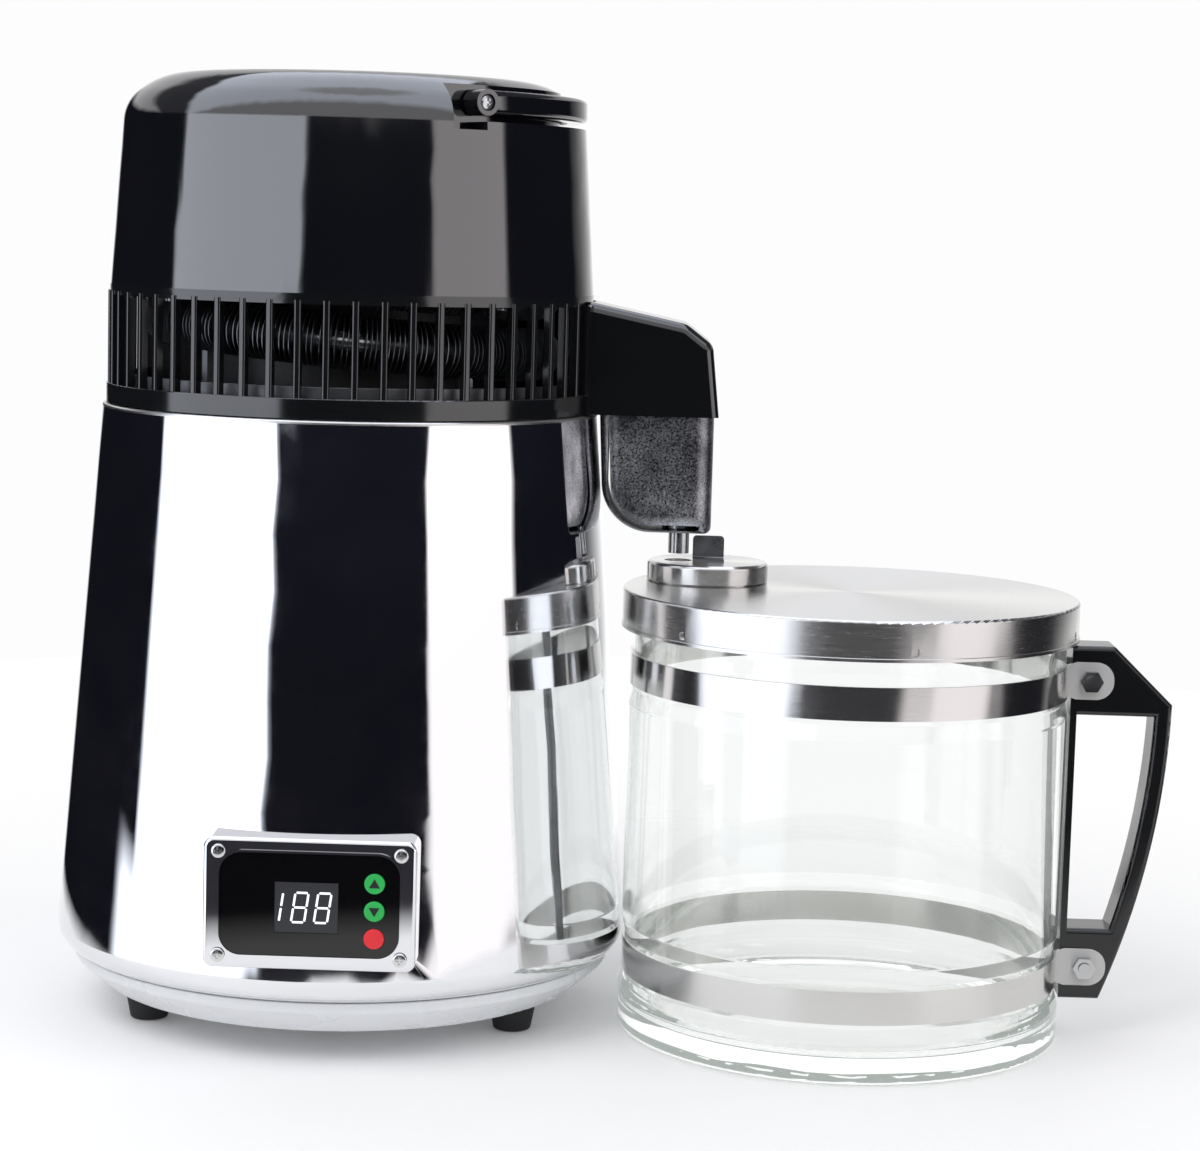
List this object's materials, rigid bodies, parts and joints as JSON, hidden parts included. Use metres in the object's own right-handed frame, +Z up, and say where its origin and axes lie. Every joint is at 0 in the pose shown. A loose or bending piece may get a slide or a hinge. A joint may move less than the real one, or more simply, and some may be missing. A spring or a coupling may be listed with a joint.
{
  "type": "countertop water distiller",
  "caption": "Countertop water distiller: steel boiler with a lift-off fan-cooled condenser head, spout and control panel, beside a glass carafe with handle and lid.",
  "frame": {"origin": "on the worktop under the middle of the whole machine, boiler and carafe together", "axes": "+Z up, +X from the boiler towards the carafe, -Y out of the control panel"},
  "size_m": [0.4473, 0.2468, 0.375],
  "materials": {
    "black_rubber": "matte moulded rubber",
    "grey_silicone": "soft satin silicone",
    "zinc_steel": "bright zinc plated steel",
    "silver_plastic": "silver painted moulding, satin",
    "polished_steel": "stainless sheet polished to a mirror",
    "brushed_steel": "brushed stainless sheet",
    "chrome_plate": "chrome plated moulding",
    "cast_metal": "polished casting with a fine grain",
    "aluminium": "bare aluminium",
    "dark_steel": "heat darkened steel sheath",
    "white_ceramic": "glazed ceramic",
    "black_gloss": "glossy moulded plastic",
    "black_abs": "satin moulded plastic",
    "black_plastic": "matte moulded plastic",
    "display_grey": "grey display block",
    "board_green": "circuit board",
    "button_green": "green moulded cap",
    "button_red": "red moulded cap",
    "charcoal": "cloth pouch of charcoal",
    "brass": "nickel brass contact",
    "clear_glass": "clear pressed glass"
  },
  "bodies": {
    "base": {"rubber_feet": "black_rubber", "foot_screws": "zinc_steel", "base_pan": "silver_plastic", "outer_shell": "polished_steel", "boiler_pot": "brushed_steel", "pot_studs": "zinc_steel", "pan_nuts": "zinc_steel", "heat_spreader": "aluminium", "heating_element": "dark_steel", "thermostat": "aluminium", "thermal_fuse": "white_ceramic", "panel_frame": "chrome_plate", "panel_window": "black_gloss", "display_module": "display_grey", "control_board": "board_green", "board_screws": "zinc_steel", "button_switches": "black_plastic", "panel_screws": "zinc_steel", "inlet_housing": "black_plastic", "inlet_socket": "black_plastic", "inlet_pins": "brass", "inlet_screws": "zinc_steel", "coupler_socket": "black_plastic"},
    "head": {"head_gasket": "grey_silicone", "head_plate": "brushed_steel", "plate_screws": "zinc_steel", "grille_ring": "black_abs", "dome_screws": "zinc_steel", "head_dome": "black_gloss", "handle_screws": "zinc_steel", "spout_arm": "black_gloss", "spout_nozzle": "cast_metal", "outlet_tube": "brushed_steel", "filter_cup": "charcoal", "vapour_fitting": "brushed_steel", "condenser_coil": "brushed_steel", "condenser_fins": "aluminium", "coil_posts": "brushed_steel", "air_baffle": "black_plastic", "fan_motor": "black_plastic", "fan_bracket": "zinc_steel", "bracket_screws": "zinc_steel", "coupler_plug": "black_plastic", "coupler_pins": "brass"},
    "fan": {"fan_impeller": "black_plastic", "fan_shaft": "zinc_steel"},
    "handle": {"carry_handle": "black_abs"},
    "up_button": {"button_up": "button_green"},
    "down_button": {"button_down": "button_green"},
    "start_button": {"button_start": "button_red"},
    "carafe": {"glass_jar": "clear_glass", "upper_band": "brushed_steel", "lower_band": "brushed_steel", "jar_handle": "black_plastic", "band_bolts": "zinc_steel", "band_nuts": "zinc_steel"},
    "lid": {"jar_lid": "brushed_steel", "lid_seal": "grey_silicone"},
    "cap": {"jar_cap": "brushed_steel", "cap_tab": "brushed_steel"}
  },
  "joints": [
    {"name": "head_lift", "type": "slide", "parent": "base", "child": "head", "axis": [0, 0, 1], "range_m": [0, 0.2]},
    {"name": "fan_spin", "type": "hinge", "parent": "head", "child": "fan", "pos_m": [-0.10791, 0, 0.33], "axis": [0, 0, 1], "continuous": true},
    {"name": "carry_handle_swing", "type": "hinge", "parent": "head", "child": "handle", "pos_m": [-0.10791, 0, 0.3642], "axis": [0.6157, -0.788, 0], "range_deg": [0, 90]},
    {"name": "up_button_press", "type": "slide", "parent": "base", "child": "up_button", "axis": [0, 1, 0], "range_m": [0, 0.0006], "stiffness_N_per_m": 800, "springref_m": -0.0006},
    {"name": "down_button_press", "type": "slide", "parent": "base", "child": "down_button", "axis": [0, 1, 0], "range_m": [0, 0.0006], "stiffness_N_per_m": 800, "springref_m": -0.0006},
    {"name": "start_button_press", "type": "slide", "parent": "base", "child": "start_button", "axis": [0, 1, 0], "range_m": [0, 0.0006], "stiffness_N_per_m": 800, "springref_m": -0.0006},
    {"name": "carafe_out", "type": "slide", "parent": "base", "child": "carafe", "axis": [1, 0, 0], "range_m": [0, 0.25]},
    {"name": "lid_turn", "type": "hinge", "parent": "carafe", "child": "lid", "pos_m": [0.09509, -0.022, 0.17], "axis": [0, 0, 1], "continuous": true},
    {"name": "cap_turn", "type": "hinge", "parent": "lid", "child": "cap", "pos_m": [0.03809, 0.002, 0.18], "axis": [0, 0, 1], "continuous": true}
  ]
}
